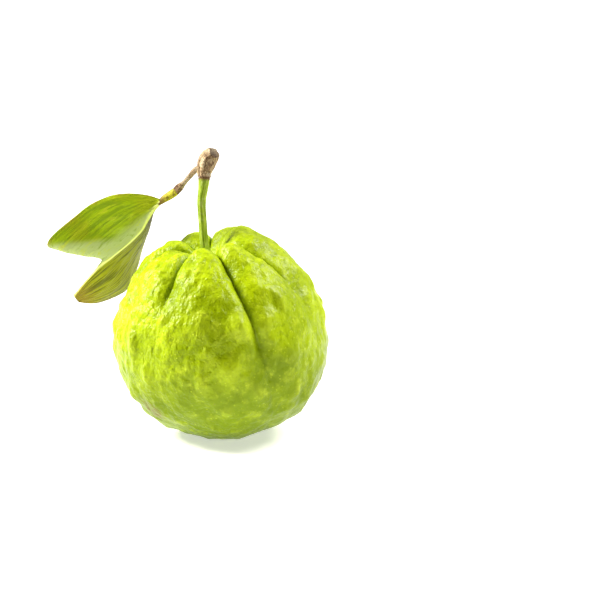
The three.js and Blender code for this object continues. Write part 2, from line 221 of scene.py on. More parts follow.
class Look:
    """A material and the few ways in which its nodes are made."""

    def __init__(self, name, **constants):
        self.material = bpy.data.materials.new(name)
        self.material.use_nodes = True
        self.tree = self.material.node_tree
        self.shader = self.tree.nodes["Principled BSDF"]
        for key, value in constants.items():
            self.shader.inputs[key.replace("_", " ")].default_value = value

    def node(self, kind, settings=None, out=0, **values):
        made = self.tree.nodes.new(kind)
        for key, value in (settings or {}).items():
            setattr(made, key, value)
        wrap = Socket(self.tree, None)
        for key, value in values.items():
            wrap.feed(made.inputs[key.replace("_", " ")], value)
        return Socket(self.tree, made.outputs[out])

    def mask(self, name):
        return self.node("ShaderNodeAttribute", {"attribute_name": name}, out="Fac")

    def place(self, name=None):
        if name:
            return self.node("ShaderNodeAttribute", {"attribute_name": name}, out="Vector")
        return self.node("ShaderNodeTexCoord", out="Object")

    def noise(self, place, scale, detail=3.0, roughness=0.5, distortion=0.0):
        return self.node("ShaderNodeTexNoise", out="Fac", Vector=place, Scale=scale, Detail=detail,
                         Roughness=roughness, Distortion=distortion)

    def cells(self, place, scale):
        return self.node("ShaderNodeTexVoronoi", out="Distance", Vector=place, Scale=scale)

    def mix(self, factor, first, second, blend="MIX"):
        made = self.tree.nodes.new("ShaderNodeMix")
        made.data_type = "RGBA"
        made.blend_type = blend
        made.clamp_factor = True
        wrap = Socket(self.tree, None)
        for slot, value in ((made.inputs[0], factor), (made.inputs[6], first), (made.inputs[7], second)):
            wrap.feed(slot, value)
        return Socket(self.tree, made.outputs[2])

    def stretch(self, place, factors):
        made = self.tree.nodes.new("ShaderNodeVectorMath")
        made.operation = "MULTIPLY"
        wrap = Socket(self.tree, None)
        wrap.feed(made.inputs[0], place)
        made.inputs[1].default_value = factors
        return Socket(self.tree, made.outputs[0])

    def bump(self, height, distance, strength=1.0, under=None):
        made = self.tree.nodes.new("ShaderNodeBump")
        wrap = Socket(self.tree, None)
        made.inputs["Strength"].default_value = strength
        made.inputs["Distance"].default_value = distance
        wrap.feed(made.inputs["Height"], height)
        if under is not None:
            wrap.feed(made.inputs["Normal"], under)
        return Socket(self.tree, made.outputs[0])

    def finish(self, colour, roughness=None, normal=None):
        wrap = Socket(self.tree, None)
        wrap.feed(self.shader.inputs["Base Color"], colour)
        if roughness is not None:
            wrap.feed(self.shader.inputs["Roughness"], roughness)
        if normal is not None:
            wrap.feed(self.shader.inputs["Normal"], normal)
        return self.material


def linear(colour):
    """Colour with an alpha of 1 from a property."""
    return (*colour, 1.0)


def put(obj, material, node):
    """Dresses a piece, hangs it from the root and hides the solid that it stands for."""
    obj.data.materials.append(material)
    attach(obj, "root")
    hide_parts(node)
    return obj


def fruit_place(s):
    return (Matrix.Translation((s.shift, 0, s.height))
            @ Matrix.Rotation(-math.radians(s.lean_left), 4, "Y")
            @ Matrix.Rotation(math.radians(s.lean_front), 4, "X"))


def make_warts(s):
    """The large warts of the solid model, then many finer ones."""
    draw = sequence(s.wart_seed)
    warts = []
    for index in range(s.wart_count + s.fine_count):
        fine = index >= s.wart_count
        psi = math.acos(1 - 2 * (0.04 + 0.92 * next(draw)))
        bearing = 2 * math.pi * next(draw)
        calm = 1 - 0.55 * float(smooth(0.5, 1, psi / math.pi))
        length = 1.3 + 1.6 * next(draw) if fine else 3.4 + 2.8 * next(draw)
        width = 1.0 + 0.9 * next(draw) if fine else 2.6 + 1.6 * next(draw)
        sign = 1 if next(draw) < 0.62 else -0.8
        top = s.fine_height if fine else s.wart_height
        warts.append((psi, bearing, length, width, sign * top * (0.45 + 0.55 * next(draw)) * calm))
    return warts


def wart_relief(s, ways):
    total = np.zeros(ways.shape[:-1])
    for psi, bearing, length, width, height in make_warts(s):
        centre = direction(psi, bearing)
        down = direction(psi + math.pi / 2, bearing)
        across = np.cross(centre, down)
        near = ways @ centre > (0.7 if length > 3.3 else 0.97)
        u = (ways[near] @ down) * s.radius / length
        v = (ways[near] @ across) * s.radius / width
        total[near] += height * np.exp(-u * u - v * v)
    return total


def skin(s, psi, lobe, share):
    """Points of the skin, with masks for the furrows, the warts and the way down from the stalk."""
    table = np.array(FURROWS, float)
    here, there = table[lobe], table[(lobe + 1) % len(table)]
    start = np.radians(here[..., 0] + here[..., 1] * (psi - 1))
    end = np.radians(there[..., 0] + there[..., 1] * (psi - 1))
    end = np.where(end < start, end + 2 * math.pi, end)
    bearing = start + (end - start) * share
    down = np.degrees(psi)
    around = s.radius * np.sin(psi) * (1 + s.taper * np.cos(psi))
    rise = np.where(psi < math.pi / 2, s.top, s.bottom) * np.cos(psi)
    out = unit(np.stack([np.sin(psi) / s.radius, np.cos(psi) / s.top], -1))
    low = 1 + (LOBE_SHARE_LOW - 1) * smooth(25, 100, down)
    heights = np.array(LOBE_HEIGHTS)[lobe]
    swell = heights * low * np.sin(math.pi * share) ** LOBE_FULLNESS * smooth(3, 20, down)
    furrow = np.zeros_like(swell)
    for side, edge in ((here, start), (there, end)):
        apart = np.abs(bearing - edge) * around
        fade = (1 - smooth(side[..., 3], side[..., 4], down)) * smooth(4, 16, down)
        swell -= side[..., 2] * fade * np.exp(-apart / FURROW_WIDTH)
        # The furrow mask sets where painted shade darkens the skin.
        furrow += fade * np.exp(-apart / FURROW_SHADE_WIDTH)
    ways = direction(psi, bearing)
    warts = wart_relief(s, ways) * smooth(8, 22, down)
    ripple = noise_at(ways * s.radius, 5.0, 4, 3.1) * s.ripple * smooth(6, 18, down)
    swell += warts + ripple
    r = np.maximum(0, around + swell * out[..., 0])
    z = rise + swell * out[..., 1]
    z -= s.cavity_depth * np.exp(-(r / s.cavity_radius) ** 2) * (psi < math.pi / 2)
    z += s.dimple_depth * np.exp(-(r / s.dimple_radius) ** 4) * (psi > math.pi / 2)
    sway = s.sway * smooth(0, 36, -z)
    points = np.stack([r * np.sin(bearing) + sway, -r * np.cos(bearing), z], -1)
    return points, {"furrow": furrow, "wart": (warts + ripple) / s.wart_height, "down": psi / math.pi}


def ring_faces(rows, ring):
    """Faces of a body of rings between a first and a last point."""
    faces = []
    last = 1 + rows * ring
    for k in range(ring):
        after = (k + 1) % ring
        faces.append((0, 1 + k, 1 + after))
        faces.append((last, last - ring + after, last - ring + k))
        for row in range(rows - 1):
            a, b = 1 + row * ring + k, 1 + row * ring + after
            faces.append((a, a + ring, b + ring, b))
    return faces


def fruit_mesh(s):
    rows = s.rows
    bearings = np.array(FURROWS)[:, 0]
    spans = (np.roll(bearings, -1) - bearings) % 360
    columns = np.maximum(12, np.round(s.columns * spans / 360).astype(int))
    lobe = np.repeat(np.arange(len(FURROWS)), columns)
    share = np.concatenate([np.arange(n) / n for n in columns])
    t = np.arange(1, rows) / rows
    psi = math.pi * (t - 0.05 * np.sin(2 * math.pi * t))
    grid_psi = np.broadcast_to(psi[:, None], (rows - 1, len(lobe)))
    grid_lobe = np.broadcast_to(lobe, grid_psi.shape)
    grid_share = np.broadcast_to(share, grid_psi.shape)
    body, masks = skin(s, grid_psi, grid_lobe, grid_share)
    ends = [skin(s, np.array([p]), np.array([0]), np.array([0.0])) for p in (0.0, math.pi)]
    points = np.concatenate([ends[0][0], body.reshape(-1, 3), ends[1][0]])
    masks = {k: np.concatenate([ends[0][1][k], v.ravel(), ends[1][1][k]]) for k, v in masks.items()}
    place = np.array(fruit_place(s))
    points = points @ place[:3, :3].T + place[:3, 3]
    points[:, 2] = np.maximum(0, points[:, 2])
    return points, ring_faces(rows - 1, len(lobe)), masks


def tube_mesh(path, radii, steps, sides, section=None, rough=0.0, seed=0.0, start=0.0, hollow=0.0):
    """Closed tube and its masks: the way along it, and a place on it for grain that runs its length."""
    t = np.linspace(start, 1, steps + 1)
    centres = along(path, t)
    ahead = unit(along(path, np.minimum(1, t + 0.01)) - along(path, np.maximum(0, t - 0.01)))
    side = np.array([1.0, 0, 0])
    length = 0.0
    points, grain, ways = [], [], []
    for i in range(steps + 1):
        side = unit(side - ahead[i] * (side @ ahead[i]))
        up = np.cross(ahead[i], side)
        angle = 2 * math.pi * np.arange(sides) / sides
        form = section(angle, t[i]) if section else np.ones(sides)
        r = along(radii, t[i]) * form
        ring = centres[i] + np.outer(r * np.cos(angle), side) + np.outer(r * np.sin(angle), up)
        if rough:
            ring += (ring - centres[i]) * (rough * noise_at(ring, 1.6, 3, seed))[:, None]
        length += np.linalg.norm(centres[i] - centres[i - 1]) if i else 0
        points.append(ring)
        mean = float(np.mean(r))
        grain.append(np.stack([np.cos(angle) * mean, np.sin(angle) * mean, np.full(sides, length)], -1))
        ways.append(np.full(sides, t[i]))
    points = np.concatenate([centres[:1], *points, centres[-1:] - ahead[-1:] * hollow])
    grain = np.concatenate([[[0, 0, 0]], *grain, [[0, 0, length]]])
    ways = np.concatenate([[start], *ways, [1.0]])
    faces = []
    last = len(points) - 1
    for k in range(sides):
        after = (k + 1) % sides
        faces.append((0, 1 + after, 1 + k))
        faces.append((last, last - sides + k, last - sides + after))
        for i in range(steps):
            a, b = 1 + i * sides + k, 1 + i * sides + after
            faces.append((a, b, b + sides, a + sides))
    return points, faces, {"grain": grain, "way": ways}


def joined(*bodies):
    """One mesh of several bodies, each with a number in the mask part."""
    points, faces, masks = [], [], {}
    for number, (some, more, marks) in enumerate(bodies):
        first = sum(len(p) for p in points)
        points.append(some)
        faces += [tuple(i + first for i in face) for face in more]
        for key, value in {**marks, "part": np.full(len(some), float(number))}.items():
            masks.setdefault(key, []).append(value)
    return np.concatenate(points), faces, {k: np.concatenate(v) for k, v in masks.items()}


def blade_point(s, t, q):
    """Points of the blade; t runs from its stalk to its tip, q from the far margin to the near one."""
    rib = along(MIDRIB_LINE, t)
    far = along(FAR_MARGIN, t) - rib
    near = along(NEAR_MARGIN, t) - rib
    rounded = np.sqrt(q * q + s.fold_rounding ** 2) - s.fold_rounding
    point = rib + near * ((rounded + q) / 2)[..., None] + far * ((rounded - q) / 2)[..., None]
    forward = along(MIDRIB_LINE, np.minimum(1, t + 0.02)) - along(MIDRIB_LINE, np.maximum(0, t - 0.02))
    left = (q < 0)[..., None]
    side = np.where(left, far, near)
    face = unit(np.cross(forward, side)) * np.where(left, -1, 1)
    across = np.abs(q)
    width = np.linalg.norm(side, axis=-1)
    sweep = np.where(q < 0, s.far_sweep, s.near_sweep) * across * (1 - 0.3 * across)
    wave = np.abs(np.sin(math.pi * s.pleat_count * (t - sweep)))
    ends = smooth(0, 0.12, t) * (1 - smooth(0.9, 1, t))
    pleats = s.pleat_height * (0.45 - wave) * smooth(0.02, 0.2, across)
    pleats = pleats * (1 - 0.5 * smooth(0.8, 1, across)) * ends
    camber = 0.07 * width * np.sin(math.pi * across)
    return point + face * (camber + pleats)[..., None], width * across


def blade_mesh(s):
    rows, half = s.blade_rows, s.half_columns
    t = 0.012 + 0.983 * np.arange(rows + 1) / rows
    k = np.arange(-half, half + 1) / half
    q = np.sign(k) * np.abs(k) ** 1.35
    grid_t, grid_q = np.meshgrid(t, q, indexing="ij")
    middle, off = blade_point(s, grid_t, grid_q)
    ahead = np.gradient(middle, axis=0)
    aside = np.gradient(middle, axis=1)
    face = unit(np.cross(ahead, aside))
    rib = (s.midrib_thickness - s.blade_thickness) * np.exp(-(off / s.midrib_width) ** 2)
    rib = rib * (1 - 0.6 * grid_t)
    grainy = noise_at(middle, 1.1, 2, 8.0) * s.blade_grain
    thick = (s.blade_thickness + rib) / 2
    upper = middle + face * (thick + grainy)[..., None]
    under = middle - face * (thick - grainy)[..., None]
    points = np.concatenate([upper.reshape(-1, 3), under.reshape(-1, 3)])
    width = 2 * half + 1
    low = width * (rows + 1)
    faces = []
    for i in range(rows):
        for j in range(width - 1):
            a, b = i * width + j, i * width + j + 1
            faces.append((a, a + width, b + width, b))
            faces.append((low + a, low + b, low + b + width, low + a + width))
        a = i * width
        faces.append((a, low + a, low + a + width, a + width))
        a = i * width + width - 1
        faces.append((a, a + width, low + a + width, low + a))
    for j in range(width - 1):
        a = j
        faces.append((a, a + 1, low + a + 1, low + a))
        a = rows * width + j
        faces.append((a, low + a, low + a + 1, a + 1))
    twice = lambda value: np.concatenate([value.ravel(), value.ravel()])
    masks = {
        "rib": twice(np.exp(-(off / 0.65) ** 4)),
        "way": twice(grid_t),
        "side": twice(grid_q),
        "edge": twice(smooth(0.93, 1.0, np.abs(grid_q))),
        "grain": np.concatenate([np.stack([grid_q * 22, grid_t * 75, 0 * grid_t], -1).reshape(-1, 3)] * 2),
    }
    return points, faces, masks


def calyx_mesh(s):
    """Low cup whose rim stands up in pointed dry sepals that bend inwards."""
    sepals, per = 5, s.sepal_columns
    sides = sepals * per
    rings = ((3.6, 1.5, 0), (3.9, 0.2, 0), (4.5, -0.9, 0.5), (4.2, -1.4, 1), (3.4, -1.2, 1),
             (3.2, -0.4, 0.4), (2.2, 0.2, 0))
    fine = np.linspace(0, 1, s.calyx_rings)
    rows = along(rings, fine)
    k = np.arange(sides)
    angle = 2 * math.pi * k / sides
    point = 1 - np.abs((k % per) / per * 2 - 1)
    body = []
    for radius, height, bend in rows:
        r = radius - bend * 1.7 * point * point
        z = height - bend * 1.3 * point
        body.append(np.stack([r * np.cos(angle), r * np.sin(angle), np.broadcast_to(z, sides)], -1))
    points = np.concatenate([[[0, 0, 1.5]], *body, [[0, 0, 0.3]]])
    points += 0.12 * noise_at(points, 0.7, 3, 5.0)[:, None] * np.array([1, 1, 0.5])
    return points, ring_faces(len(rows), sides), {"way": np.linspace(0, 1, len(points))}


def skin_look(s):
    """Waxy green skin, with painted shade that darkens the furrows, the dents between the warts and the
    lower half, painted light on the warts' tops, fine pores, a few specks and a blemish.
    """
    look = Look("guava_skin", Roughness=0.4, IOR=1.4, Specular_IOR_Level=0.22)
    place = look.place()
    broad = look.noise(place, 45.0, 3.0, 0.55)
    middle = look.noise(place, 210.0, 4.0, 0.62)
    fine = look.noise(place, 900.0, 3.0, 0.6)
    # Painted shade: towards the lower half the skin turns to the deep colour, as if that part were in
    # shadow.
    low = look.mask("down").ramp(0.4, 0.72)
    tone = broad.ramp(0.36, 0.64) * 0.5 + 0.34 - low * 0.8
    colour = look.mix(tone, linear(s.skin_deep), linear(s.skin_colour))
    colour = look.mix(middle.ramp(0.48, 0.76) * 0.45, colour, linear(s.skin_pale))
    small = look.noise(place, 520.0, 3.0, 0.6)
    colour = look.mix(small.ramp(0.5, 0.36) * 0.5, colour, linear(s.skin_deep))
    # Painted light and shade: the tops of the warts are paler and the dents between them darker.
    colour = look.mix(look.mask("wart").ramp(0.2, 1.1) * 0.16, colour, linear(s.skin_pale))
    hollow = (look.mask("wart") * -1.0).ramp(0.1, 0.8) * 0.5
    colour = look.mix(hollow, colour, linear(s.skin_deep))
    # Painted shade darkens the skin in the furrows.
    colour = look.mix(look.mask("furrow").ramp(0.2, 1.0) * 0.4, colour, linear(s.furrow_shade))
    pores = look.cells(place, 620.0)
    dots = (1.0 - pores.ramp(0.12, 0.3)) * look.noise(place, 260.0).ramp(0.42, 0.6)
    colour = look.mix(dots * 0.4, colour, linear(s.skin_pale))
    spots = look.cells(place, 150.0)
    specks = (1.0 - spots.ramp(0.04, 0.1)) * look.noise(place, 60.0, 2.0).ramp(0.5, 0.6)
    colour = look.mix(specks * 0.35, colour, linear(s.scar_colour))
    scar = look.mask("scar") * look.noise(place, 420.0, 4.0, 0.7).ramp(0.44, 0.54)
    colour = look.mix(scar * 0.8, colour, linear(s.scar_colour))
    rough = 0.2 + 0.16 * fine + 0.1 * middle
    across = look.node("ShaderNodeSeparateXYZ", out="X", Vector=place)
    uneven = 1.0 - across.ramp(-0.02, 0.02) * 0.55
    folds = look.noise(look.stretch(place, (1.1, 1.1, 0.8)), 300.0, 2.0, 0.5, 0.2)
    relief = look.bump(folds * uneven, 0.002, 0.7)
    relief = look.bump(middle * uneven, 0.0009, 0.5, relief)
    relief = look.bump(pores.ramp(0.0, 0.35), 0.00022, 0.5, relief)
    relief = look.bump(fine, 0.0003, 0.6, relief)
    return look.finish(colour, rough, relief)


def stalk_look(s):
    look = Look("green_stalk", Roughness=0.5, IOR=1.4, Specular_IOR_Level=0.3)
    grain = look.place("grain")
    place = look.place()
    lines = look.noise(look.stretch(grain, (1.6, 1.6, 0.12)), 1.0, 4.0, 0.6)
    mottle = look.noise(place, 420.0, 3.0)
    colour = look.mix(lines.ramp(0.35, 0.65), linear(s.stalk_deep), linear(s.stalk_colour))
    colour = look.mix(mottle.ramp(0.5, 0.75) * 0.4, colour, linear(s.stalk_pale))
    colour = look.mix(look.mask("way").ramp(0.9, 0.99), colour, linear(s.bark_deep))
    specks = 1.0 - look.cells(place, 700.0).ramp(0.1, 0.25)
    colour = look.mix(specks * 0.3, colour, linear(s.bark_deep))
    relief = look.bump(lines, 0.0003, 0.6)
    relief = look.bump(mottle, 0.0002, 0.5, relief)
    return look.finish(colour, 0.42 + 0.2 * mottle, relief)


def bark_look(s):
    look = Look("dry_bark", Roughness=0.75, IOR=1.4)
    grain = look.place("grain")
    place = look.place()
    fibres = look.noise(look.stretch(grain, (1.7, 1.7, 0.16)), 1.0, 4.0, 0.6, 0.3)
    broad = look.noise(place, 260.0, 3.0)
    cracks = look.noise(look.stretch(grain, (3.2, 3.2, 0.5)), 1.0, 4.0, 0.6, 1.0)
    colour = look.mix(fibres.ramp(0.38, 0.58), linear(s.bark_deep), linear(s.bark_colour))
    colour = look.mix(broad.ramp(0.5, 0.62) * 0.7, colour, linear(s.bark_pale))
    colour = look.mix(broad.ramp(0.46, 0.36) * 0.7, colour, linear(s.bark_deep))
    colour = look.mix(cracks.ramp(0.56, 0.64), colour, linear(s.bark_dark))
    dark = look.mask("dark") * (0.35 + broad.ramp(0.35, 0.6))
    colour = look.mix(dark, colour, linear(s.bark_deep))
    # Painted shade: the hollow in the stub's broken end takes the darkest bark colour.
    colour = look.mix(look.mask("hollow"), colour, linear(s.bark_dark))
    relief = look.bump(fibres, 0.0006, 0.8)
    relief = look.bump(cracks, 0.0005, 0.6, relief)
    return look.finish(colour, 0.6 + 0.3 * fibres, relief)


def leaf_look(s):
    """Green far half with a painted sheen that pales its lower part, and an olive near half with long dark
    lines and painted shade beside the midrib near the stalk.
    """
    look = Look("leaf_blade", Roughness=0.4, IOR=1.4, Specular_IOR_Level=0.08)
    place = look.place()
    grain = look.place("grain")
    side = look.mask("side")
    way = look.mask("way")
    broad = look.noise(place, 70.0, 3.0)
    fine = look.noise(place, 900.0, 3.0)
    streaks = look.noise(look.stretch(grain, (0.9, 0.05, 1.0)), 1.0, 4.0, 0.6, 0.2)
    lines = look.noise(look.stretch(grain, (1.5, 0.04, 1.0)), 1.0, 2.0, 0.5, 0.1)
    near = side.ramp(-0.01, 0.03)
    far = look.mix(streaks.ramp(0.42, 0.56), linear(s.leaf_deep), linear(s.leaf_colour))
    far = look.mix(broad.ramp(0.42, 0.6) * 0.5, far, linear(s.leaf_olive))
    # Painted sheen: the far half pales to whitish green beside the midrib, over a width that grows towards
    # the tip.
    far = look.mix(look.mask("pale") * (0.8 + 0.3 * broad), far, linear(s.leaf_pale_sheen))
    patches = look.noise(look.stretch(grain, (0.5, 0.14, 1.0)), 1.0, 4.0, 0.65, 0.4)
    far = look.mix(patches.ramp(0.55, 0.66) * 0.6, far, linear(s.leaf_fleck))
    far = look.mix(patches.ramp(0.46, 0.38) * 0.6, far, linear(s.leaf_deep))
    close = look.mix(lines.ramp(0.42, 0.52), linear(s.leaf_groove), linear(s.leaf_olive))
    # The same pale colour lightens the near half towards its margin by the stalk.
    close = look.mix(side.ramp(0.6, 1.0) * 0.4 * (1.0 - way), close, linear(s.leaf_pale_sheen))
    colour = look.mix(near, far, close)
    # Painted shade: dark brown beside the midrib near the stalk, on the near half.
    colour = look.mix(look.mask("shade"), colour, linear(s.leaf_shade_colour))
    colour = look.mix(look.mask("rib"), colour, linear(s.rib_colour))
    brown = look.mask("edge") * look.noise(place, 120.0, 3.0).ramp(0.42, 0.62)
    colour = look.mix(brown * 0.6, colour, linear(s.leaf_brown))
    colour = look.mix(way.ramp(0.8, 1.0) * near * broad.ramp(0.3, 0.6) * 0.75, colour, linear(s.leaf_brown))
    relief = look.bump(lines, 0.0008, 0.5)
    relief = look.bump(streaks, 0.0003, 0.4, relief)
    relief = look.bump(fine, 0.0001, 0.4, relief)
    return look.finish(colour, 0.34 + 0.16 * fine, relief)


def leaf_stalk_look(s):
    look = Look("leaf_stalk", Roughness=0.5, IOR=1.4, Specular_IOR_Level=0.3)
    grain = look.place("grain")
    lines = look.noise(look.stretch(grain, (1.8, 1.8, 0.2)), 1.0, 4.0, 0.6)
    mottle = look.noise(look.place(), 500.0, 3.0)
    colour = look.mix(lines.ramp(0.35, 0.65), linear(s.shoot_colour), linear(s.shoot_pale))
    colour = look.mix(mottle.ramp(0.48, 0.6) * 0.7, colour, linear(s.shoot_brown))
    colour = look.mix(look.mask("way").ramp(0.58, 0.82) * 0.85, colour, linear(s.shoot_brown))
    return look.finish(colour, 0.5 + 0.1 * mottle, look.bump(lines, 0.0003, 0.6))


def calyx_look(s):
    look = Look("dry_sepals", Roughness=0.85)
    place = look.place()
    fine = look.noise(place, 900.0, 4.0, 0.6)
    broad = look.noise(place, 300.0, 2.0)
    colour = look.mix(fine.ramp(0.3, 0.7), linear(s.crown_dark), linear(s.crown_deep))
    colour = look.mix(broad.ramp(0.5, 0.7) * 0.5, colour, linear(s.crown_colour))
    return look.finish(colour, 0.75 + 0.2 * fine, look.bump(fine, 0.0004, 0.8))


def number(name, text, value, **more):
    return bpy.props.FloatProperty(name=name, description=text, default=value, **more)


def count(name, text, value, **more):
    return bpy.props.IntProperty(name=name, description=text, default=value, **more)


def colour(name, text, value):
    return bpy.props.FloatVectorProperty(name=name, description=text, default=value, size=3,
                                         subtype="COLOR", min=0.0, max=1.0)


class FruitSettings(bpy.types.PropertyGroup):
    """Sizes of the fruit in millimetres and its colours."""
    radius: number("Radius", "Radius at the widest ring, mm", 43.7)
    top: number("Top", "Height of the dome above the widest ring, mm", 39.8)
    bottom: number("Bottom", "Depth of the blossom end below the widest ring, mm", 45.8)
    taper: number("Taper", "Share by which the shoulders narrow and the lower half fills out", -0.13)
    lean_left: number("Lean left", "Degrees that the stem axis leans to the left", 7.0)
    lean_front: number("Lean front", "Degrees that the stem axis leans towards the viewer", 6.0)
    height: number("Height", "Height of the widest ring above the flat spot, mm", 45.3)
    sway: number("Sway", "How far the lower end swings to the right of the stem axis, mm", 2.0)
    shift: number("Shift", "Sideways place of the stem axis at the widest ring, mm", -1.4)
    cavity_depth: number("Cavity depth", "Depth of the stalk cavity, mm", 10.5)
    cavity_radius: number("Cavity radius", "Radius of the stalk cavity, mm", 9.5)
    dimple_depth: number("Dimple depth", "Depth of the blossom-end dimple, mm", 5.0)
    dimple_radius: number("Dimple radius", "Radius of the blossom-end dimple, mm", 7.0)
    wart_count: count("Large warts", "Number of large warts", 260)
    wart_seed: count("Wart seed", "Start of the warts' random draws", 1234)
    wart_height: number("Wart height", "Greatest height of a large wart, mm", 1.25)
    fine_count: count("Fine warts", "Number of fine warts", 1400)
    fine_height: number("Fine wart height", "Greatest height of a fine wart, mm", 0.42)
    ripple: number("Ripple", "Height of the uneven ripple between the warts, mm", 0.3)
    rows: count("Rows", "Rows of faces from the stalk to the blossom end", 236)
    columns: count("Columns", "Columns of faces round the fruit", 384)
    sepal_columns: count("Sepal columns", "Columns of faces in each dry sepal", 24)
    calyx_rings: count("Crown rings", "Rings of faces in the dry crown", 40)
    skin_colour: colour("Skin", "Main colour of the skin", (0.47, 0.61, 0.001))
    # The deep colour gives random mottling, and painted shade in the lower half and in the dents between
    # the warts.
    skin_deep: colour("Deep skin", "Deeper colour of the skin", (0.20, 0.29, 0.0003))
    # The pale colour gives random mottling and the pores, and painted light on the warts' tops.
    skin_pale: colour("Pale skin", "Paler colour of warts and pores", (0.66, 0.78, 0.04))
    # Painted shade in the furrows.
    furrow_shade: colour("Furrow", "Colour in the furrows", (0.18, 0.28, 0.001))
    scar_colour: colour("Scar", "Colour of specks and scars", (0.21, 0.13, 0.05))
    crown_dark: colour("Dark sepal", "Darkest colour of the dry crown", (0.05, 0.03, 0.015))
    crown_deep: colour("Deep sepal", "Deep colour of the dry crown", (0.14, 0.08, 0.035))
    crown_colour: colour("Sepal", "Light colour of the dry crown", (0.32, 0.22, 0.12))


class StemSettings(bpy.types.PropertyGroup):
    """Colours and fineness of the stalk, the branch stub and the twig."""
    steps: count("Steps", "Rings along each stem part", 180)
    hollow: number("Hollow", "Depth of the hollow in the stub's broken end, mm", 1.6)
    sides: count("Sides", "Points round each stem part", 72)
    bark_rough: number("Bark relief", "Share of the radius that the bark stands up or sinks", 0.05)
    stalk_rough: number("Stalk relief", "Share of the radius that the stalk's skin varies by", 0.02)
    stalk_colour: colour("Stalk", "Main colour of the green stalk", (0.36, 0.47, 0.03))
    stalk_deep: colour("Deep stalk", "Darker stripes of the green stalk", (0.15, 0.24, 0.003))
    stalk_pale: colour("Pale stalk", "Paler mottling of the green stalk", (0.55, 0.60, 0.22))
    bark_colour: colour("Bark", "Main colour of the dry bark", (0.58, 0.42, 0.24))
    bark_pale: colour("Pale bark", "Pale colour of the dry bark", (0.80, 0.67, 0.47))
    bark_deep: colour("Deep bark", "Brown of the dry bark", (0.15, 0.075, 0.03))
    # Also used as painted shade in the hollow of the stub's broken end.
    bark_dark: colour("Dark bark", "Darkest cracks of the bark", (0.045, 0.022, 0.012))


class LeafSettings(bpy.types.PropertyGroup):
    """Sizes of the leaf in millimetres and its colours."""
    blade_thickness: number("Blade thickness", "Thickness of the blade, mm", 0.7)
    midrib_thickness: number("Midrib thickness", "Thickness at the midrib, mm", 1.7)
    midrib_width: number("Midrib width", "Half width of the midrib, mm", 1.3)
    fold_rounding: number("Fold rounding", "Share of the half width rounded at the fold", 0.08)
    pleat_count: count("Side veins", "Side veins of each half", 6)
    pleat_height: number("Pleat height", "Height of the pleats between side veins, mm", 0.25)
    far_sweep: number("Far sweep", "Forward run of a side vein in the far half", 0.8)
    near_sweep: number("Near sweep", "Forward run of a side vein in the near half", 1.1)
    blade_grain: number("Blade grain", "Fine unevenness of the blade, mm", 0.05)
    blade_rows: count("Rows", "Rows of faces along the blade", 240)
    half_columns: count("Half columns", "Columns of faces in each half", 64)
    shoot_steps: count("Leaf stalk steps", "Rings along the leaf stalk", 120)
    shoot_sides: count("Leaf stalk sides", "Points round the leaf stalk", 48)
    shoot_rough: number("Leaf stalk relief", "Share of the radius that its skin varies by", 0.04)
    leaf_colour: colour("Leaf", "Main colour of the far half", (0.28, 0.39, 0.001))
    leaf_deep: colour("Deep leaf", "Deeper green streaks of the far half", (0.17, 0.26, 0.001))
    leaf_fleck: colour("Flecks", "Yellow flecks of the far half", (0.44, 0.49, 0.015))
    leaf_olive: colour("Olive leaf", "Colour of the near half", (0.29, 0.31, 0.003))
    leaf_groove: colour("Grooves", "Long dark lines of the near half", (0.12, 0.13, 0.001))
    # Painted shade beside the midrib near the stalk.
    leaf_shade_colour: colour("Dark base", "Dark brown beside the midrib near the stalk", (0.08, 0.06, 0.01))
    # Painted sheen on the far half. It also pales the near half towards its margin by the stalk.
    leaf_pale_sheen: colour("Pale leaf", "Pale whitish green of the blade", (0.38, 0.45, 0.18))
    rib_colour: colour("Midrib", "Cream colour of the midrib", (0.83, 0.88, 0.28))
    leaf_brown: colour("Brown leaf", "Brown tinge of edges, tip and spots", (0.30, 0.20, 0.03))
    shoot_colour: colour("Leaf stalk", "Colour of the leaf stalk", (0.42, 0.35, 0.015))
    shoot_pale: colour("Pale leaf stalk", "Pale stripes of the leaf stalk", (0.62, 0.58, 0.04))
    shoot_brown: colour("Leaf stalk brown", "Brown lower end of the leaf stalk", (0.16, 0.085, 0.02))


class StageSettings(bpy.types.PropertyGroup):
    """Floor, light and camera."""
    pitch: number("Pitch", "Degrees that the camera looks down", 11.0)
    distance: number("Distance", "Camera distance, m", 0.9)
    view_width: number("View width", "Width of the picture at the fruit, m", 0.252)
    aim: bpy.props.FloatVectorProperty(name="Aim", description="Point that the camera looks at, m",
                                       default=(0.0342, 0.002, 0.0572), size=3, subtype="TRANSLATION")
    light_colour: colour("Light", "Colour of the lamps", (1.0, 0.97, 0.86))
    key_power: number("Key light", "Power of the light from the left, W", 12.0)
    fill_power: number("Fill light", "Power of the light from the right, W", 7.0)
    world_strength: number("Surroundings", "Strength of the white surroundings behind", 0.4)
    front_strength: number("Front", "Strength of the surroundings on the viewer's side", 0.03)
    floor_glow: number("Floor glow", "Glow of the floor in front, which rises to white far behind", 0.2)
    foot_glow: number("Foot glow", "Glow of the floor round the fruit's foot, which thins the shadow", 0.5)
    floor_colour: colour("Floor", "Colour of the pale floor", (0.84, 0.84, 0.83))


def stalk_section(angle, t):
    return 1 + 0.06 * np.cos(4 * angle + 0.6)


def stub_section(angle, t):
    ridges = 0.07 * np.cos(5 * angle + 4 * t) + 0.05 * np.cos(9 * angle - 3 * t + 1)
    return 1 + float(smooth(0.35, 0.5, t)) * ridges


def twig_section(angle, t):
    return 1 + 0.05 * np.cos(3 * angle + 9 * t)


